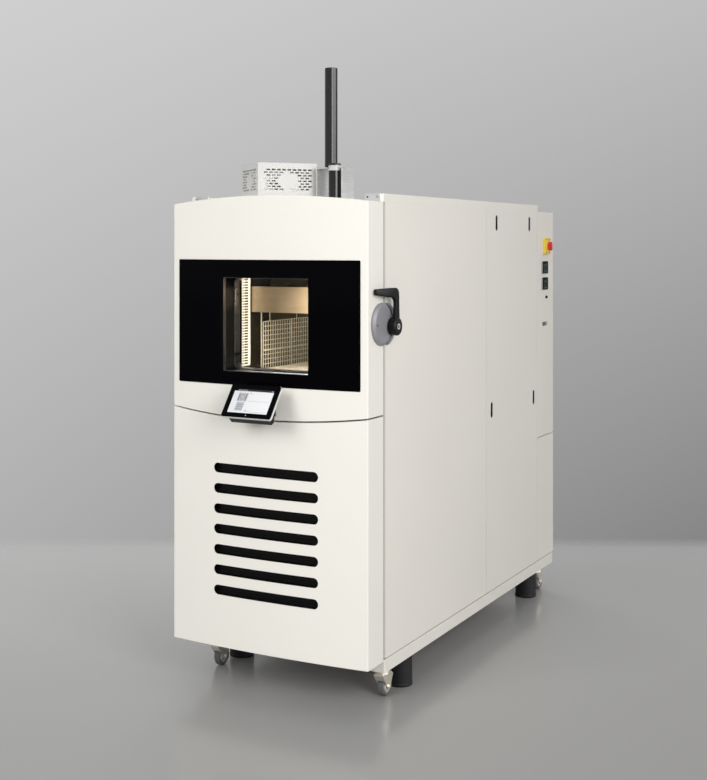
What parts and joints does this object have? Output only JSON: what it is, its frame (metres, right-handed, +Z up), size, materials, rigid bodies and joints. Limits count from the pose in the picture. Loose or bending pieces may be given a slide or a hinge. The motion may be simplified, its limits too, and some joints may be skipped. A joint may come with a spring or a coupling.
{
  "type": "environmental test chamber",
  "caption": "Free-standing thermal shock test chamber with a bowed window door, slotted lower cover, tilted touch panel and a lift basket that rides between its hot and cold spaces.",
  "frame": {"origin": "on the floor, under the middle of the chamber", "axes": "+Z up, the front with its door faces -Y, the latch is on +X"},
  "size_m": [0.9365, 2.175, 2.463],
  "materials": {
    "white_paint": "fine textured powder coat",
    "grey_frame": "satin",
    "black_plastic": "fine grained",
    "column_black": "gloss",
    "insulation": "foam and board",
    "stainless": "brushed",
    "aluminium": "satin",
    "compressor_black": "satin",
    "galvanised": "galvanised",
    "collar_white": "gloss",
    "black_glass": "polished",
    "clear_glass": "clear",
    "seal_grey": "matte",
    "disc_grey": "satin",
    "tray_grey": "satin",
    "switch_yellow": "satin",
    "switch_red": "satin",
    "caster_metal": "nickel plated",
    "wheel_grey": "matte"
  },
  "bodies": {
    "cabinet": {"access_panel_left": "white_paint", "access_panel_right": "white_paint", "air_guides": "stainless", "base_frame": "white_paint", "brake_resistor": "aluminium", "cabinet_hinges": "galvanised", "chamber_liners": "stainless", "cold_insulation": "insulation", "column_collar": "collar_white", "compressors": "compressor_black", "condenser": "aluminium", "drive_guard": "galvanised", "evaporator": "aluminium", "fan_motors": "aluminium", "front_frame": "grey_frame", "heater_coil": "stainless", "hot_insulation": "insulation", "intake_grille": "black_plastic", "latch_keeper": "disc_grey", "levelling_feet": "black_plastic", "lift_column_tube": "column_black", "lift_drive": "black_plastic", "lower_front_cover": "white_paint", "panel_latches": "black_plastic", "rear_instruments": "black_plastic", "rear_panel": "white_paint", "rear_side_panels": "white_paint", "roof_brackets": "galvanised", "roof_panel": "white_paint", "roof_rails": "white_paint", "side_panel_left": "white_paint", "side_panel_right": "white_paint", "switch_housing": "switch_yellow"},
    "door": {"door_shell": "white_paint", "door_core": "insulation", "window_tunnel": "stainless", "black_glass": "black_glass", "window_panes": "clear_glass", "door_seal": "seal_grey", "handle_disc": "disc_grey", "door_hinges": "galvanised", "display_bracket": "black_plastic", "display_housing": "tray_grey", "display_glass": "black_glass"},
    "lever": {"lever_handle": "black_plastic"},
    "basket": {"basket_frame": "stainless", "basket_mesh": "stainless", "basket_plugs": "insulation", "lift_rod": "stainless"},
    "hot_fan": {"hot_fan": "aluminium"},
    "cold_fan": {"cold_fan": "aluminium"},
    "main_switch": {"switch_knob": "switch_red"},
    "caster_front_left": {"caster_fork_front_left": "caster_metal"},
    "wheel_front_left": {"caster_wheel_front_left": "wheel_grey"},
    "caster_front_right": {"caster_fork_front_right": "caster_metal"},
    "wheel_front_right": {"caster_wheel_front_right": "wheel_grey"},
    "caster_rear_left": {"caster_fork_rear_left": "caster_metal"},
    "wheel_rear_left": {"caster_wheel_rear_left": "wheel_grey"},
    "caster_rear_right": {"caster_fork_rear_right": "caster_metal"},
    "wheel_rear_right": {"caster_wheel_rear_right": "wheel_grey"}
  },
  "joints": [
    {"name": "door_swing", "type": "hinge", "parent": "cabinet", "child": "door", "pos_m": [-0.444, -0.795, 1.48], "axis": [0, 0, -1], "range_deg": [0, 110]},
    {"name": "latch_turn", "type": "hinge", "parent": "door", "child": "lever", "pos_m": [0.45, -0.775, 1.424], "axis": [1, 0, 0], "range_deg": [0, 90]},
    {"name": "basket_lift", "type": "slide", "parent": "cabinet", "child": "basket", "axis": [0, 0, -1], "range_m": [0, 0.378]},
    {"name": "hot_fan_spin", "type": "hinge", "parent": "cabinet", "child": "hot_fan", "pos_m": [0, -0.195, 1.43], "axis": [0, 1, 0], "continuous": true},
    {"name": "cold_fan_spin", "type": "hinge", "parent": "cabinet", "child": "cold_fan", "pos_m": [0, -0.195, 0.86], "axis": [0, 1, 0], "continuous": true},
    {"name": "main_switch_turn", "type": "hinge", "parent": "cabinet", "child": "main_switch", "pos_m": [0.455, 0.977, 1.721], "axis": [1, 0, 0], "range_deg": [0, 90]},
    {"name": "caster_front_left_swivel", "type": "hinge", "parent": "cabinet", "child": "caster_front_left", "pos_m": [-0.376, -0.701, 0.1], "axis": [0, 0, 1], "continuous": true},
    {"name": "wheel_front_left_roll", "type": "hinge", "parent": "caster_front_left", "child": "wheel_front_left", "pos_m": [-0.376, -0.679, 0.0375], "axis": [1, 0, 0], "continuous": true},
    {"name": "caster_front_right_swivel", "type": "hinge", "parent": "cabinet", "child": "caster_front_right", "pos_m": [0.376, -0.701, 0.1], "axis": [0, 0, 1], "continuous": true},
    {"name": "wheel_front_right_roll", "type": "hinge", "parent": "caster_front_right", "child": "wheel_front_right", "pos_m": [0.376, -0.679, 0.0375], "axis": [1, 0, 0], "continuous": true},
    {"name": "caster_rear_left_swivel", "type": "hinge", "parent": "cabinet", "child": "caster_rear_left", "pos_m": [-0.376, 1, 0.1], "axis": [0, 0, 1], "continuous": true},
    {"name": "wheel_rear_left_roll", "type": "hinge", "parent": "caster_rear_left", "child": "wheel_rear_left", "pos_m": [-0.376, 1.022, 0.0375], "axis": [1, 0, 0], "continuous": true},
    {"name": "caster_rear_right_swivel", "type": "hinge", "parent": "cabinet", "child": "caster_rear_right", "pos_m": [0.376, 1, 0.1], "axis": [0, 0, 1], "continuous": true},
    {"name": "wheel_rear_right_roll", "type": "hinge", "parent": "caster_rear_right", "child": "wheel_rear_right", "pos_m": [0.376, 1.022, 0.0375], "axis": [1, 0, 0], "continuous": true}
  ]
}
